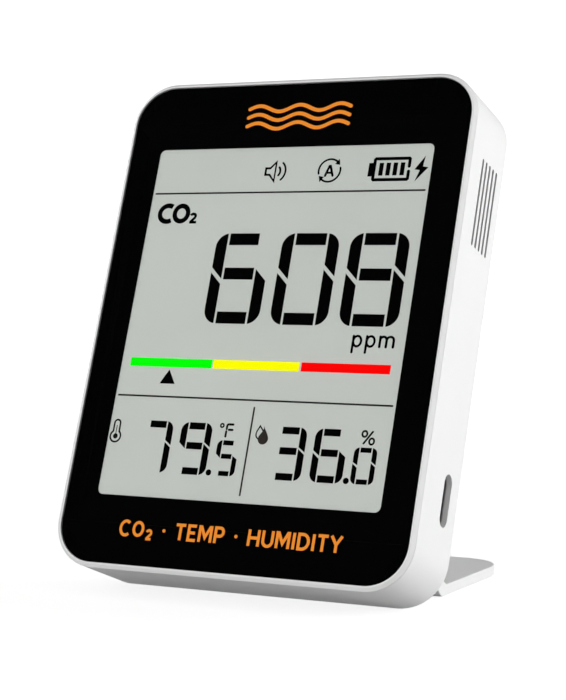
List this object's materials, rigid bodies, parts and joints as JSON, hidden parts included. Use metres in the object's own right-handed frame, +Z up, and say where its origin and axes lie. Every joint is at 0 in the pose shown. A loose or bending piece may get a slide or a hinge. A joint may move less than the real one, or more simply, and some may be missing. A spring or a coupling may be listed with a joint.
{
  "type": "air quality monitor",
  "caption": "Desk monitor for carbon dioxide, temperature and humidity with a large display, side vents, push buttons and a fold-out stand.",
  "frame": {"origin": "centre of the footprint on the desk, with the stand folded out and lying flat", "axes": "+Z up, the display faces -Y and leans back 20 degrees from upright, +X is to the right of someone reading the display, and the charging port and vents are on the +X side"},
  "size_m": [0.072, 0.0612, 0.0949],
  "materials": {
    "white_shell": "fine moulded texture",
    "front_white": "smooth moulded",
    "stand_white": "fine moulded texture",
    "lens_clear": "polished, black printed border",
    "film_black": "printed ink",
    "tape_black": "foam adhesive tape",
    "lcd_grey": "reflective liquid crystal glass",
    "light_guide": "white reflector",
    "black_plastic": "moulded",
    "grey_plastic": "moulded",
    "ribbon_amber": "polyimide film",
    "board_green": "solder mask",
    "steel_plain": "zinc plated",
    "socket_steel": "nickel plated",
    "sensor_can": "stamped can",
    "foam_grey": "closed cell foam",
    "mesh_grey": "fine woven dust mesh",
    "cell_silver": "laminated pouch",
    "button_white": "smooth moulded",
    "label_silver": "blank film label",
    "pad_grey": "silicone"
  },
  "bodies": {
    "housing": {"front_frame": "front_white", "lens_sheet": "lens_clear", "mask_film": "film_black", "lens_tape": "tape_black", "lcd_glass": "lcd_grey", "backlight": "light_guide", "display_carrier": "grey_plastic", "display_ribbon": "ribbon_amber", "main_board": "board_green", "board_chips": "black_plastic", "board_screws": "steel_plain", "carrier_screws": "steel_plain", "co2_sensor": "sensor_can", "sensor_gasket": "foam_grey", "vent_filter": "mesh_grey", "humidity_sensor": "grey_plastic", "usb_socket": "socket_steel", "usb_tongue": "black_plastic", "battery_cell": "cell_silver", "battery_pad": "foam_grey", "battery_lead": "black_plastic", "buzzer": "black_plastic", "tact_switches": "steel_plain", "rear_cover": "white_shell", "rating_label": "label_silver", "case_screws": "steel_plain", "hinge_rod": "steel_plain", "friction_washers": "steel_plain"},
    "stand": {"kickstand": "stand_white", "stand_pads": "pad_grey"},
    "power_key": {"power_button": "button_white", "power_stem": "black_plastic"},
    "alarm_key": {"alarm_button": "button_white", "alarm_stem": "black_plastic"},
    "unit_key": {"unit_button": "button_white", "unit_stem": "black_plastic"}
  },
  "joints": [
    {"name": "stand_fold", "type": "hinge", "parent": "housing", "child": "stand", "pos_m": [0, -0.01884, 0.00525], "axis": [1, 0, 0], "range_deg": [0, 70], "stiffness_Nm_per_rad": 0.02, "springref_deg": -57.3},
    {"name": "power_press", "type": "slide", "parent": "housing", "child": "power_key", "axis": [0, -0.9397, 0.342], "range_m": [0, 0.00035], "stiffness_N_per_m": 50},
    {"name": "alarm_press", "type": "slide", "parent": "housing", "child": "alarm_key", "axis": [0, -0.9397, 0.342], "range_m": [0, 0.00035], "stiffness_N_per_m": 50},
    {"name": "unit_press", "type": "slide", "parent": "housing", "child": "unit_key", "axis": [0, -0.9397, 0.342], "range_m": [0, 0.00035], "stiffness_N_per_m": 50}
  ]
}
